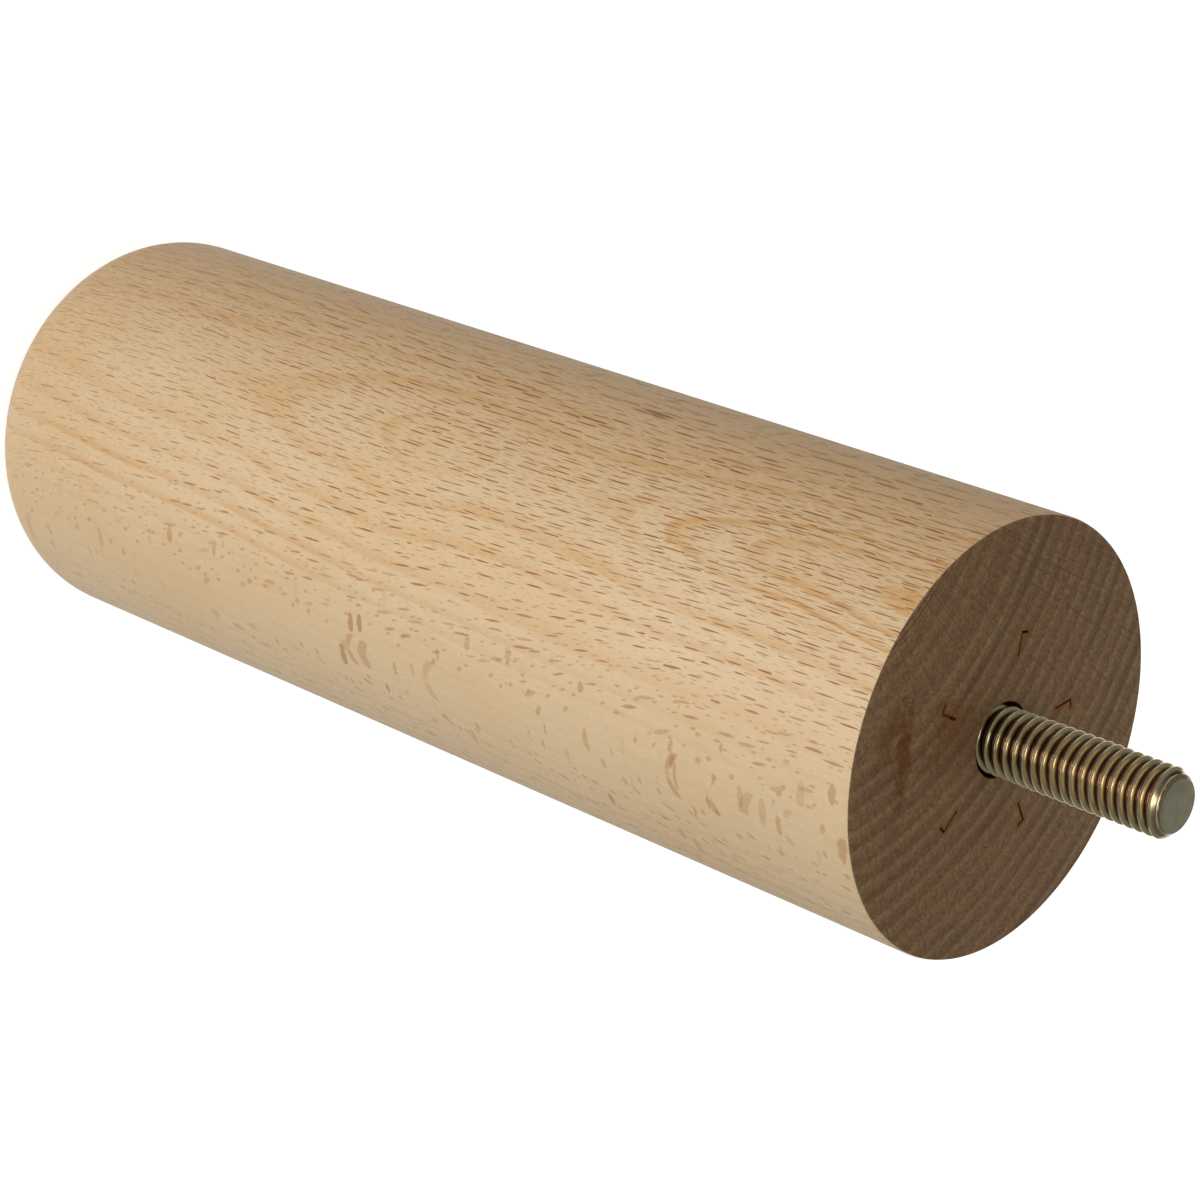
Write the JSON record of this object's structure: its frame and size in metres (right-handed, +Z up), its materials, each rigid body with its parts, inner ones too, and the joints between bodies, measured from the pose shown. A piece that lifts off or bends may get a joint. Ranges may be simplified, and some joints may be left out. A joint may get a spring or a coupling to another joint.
{
  "type": "wooden furniture leg",
  "caption": "Short round turned wooden furniture leg with a rounded foot and a threaded steel bolt standing out of its top.",
  "frame": {"origin": "centre of the foot's face, on the floor", "axes": "+Z runs up the leg to the bolt; the leg is round about Z"},
  "size_m": [0.05, 0.05, 0.173],
  "materials": {
    "beech": "turned and sanded, left bare",
    "zinc_plated_steel": "rolled thread, bright zinc plated"
  },
  "bodies": {
    "root": {"leg": "beech", "hanger_bolt": "zinc_plated_steel"}
  },
  "joints": []
}
